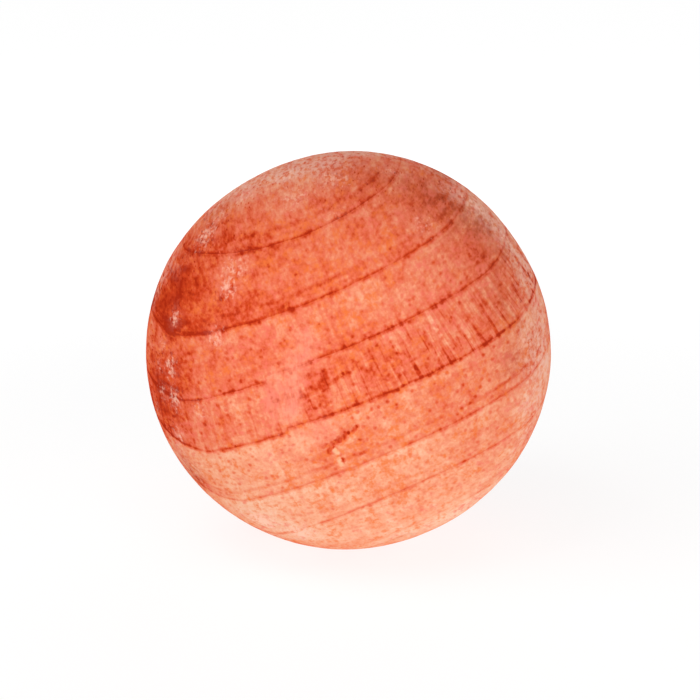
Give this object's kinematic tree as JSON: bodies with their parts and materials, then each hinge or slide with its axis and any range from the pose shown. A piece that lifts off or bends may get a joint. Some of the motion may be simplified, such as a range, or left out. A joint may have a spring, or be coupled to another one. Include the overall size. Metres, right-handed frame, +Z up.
{
  "type": "croquet ball",
  "caption": "Solid wooden croquet ball, stained orange-red, with visible growth rings and playing scuffs. It rolls on a lawn and is struck with a mallet.",
  "frame": {"origin": "the ball's centre, which is the centre of its bounding box", "axes": "+Z is up with the ball at rest on a level surface. +X is to the right, along the growth rings, where the ball is longest across. -Y faces the viewer, and the end grain is on that side."},
  "size_m": [0.0806, 0.08, 0.0794],
  "materials": {
    "stained_wood": "matte"
  },
  "bodies": {
    "root": {"ball": "stained_wood"}
  },
  "joints": []
}
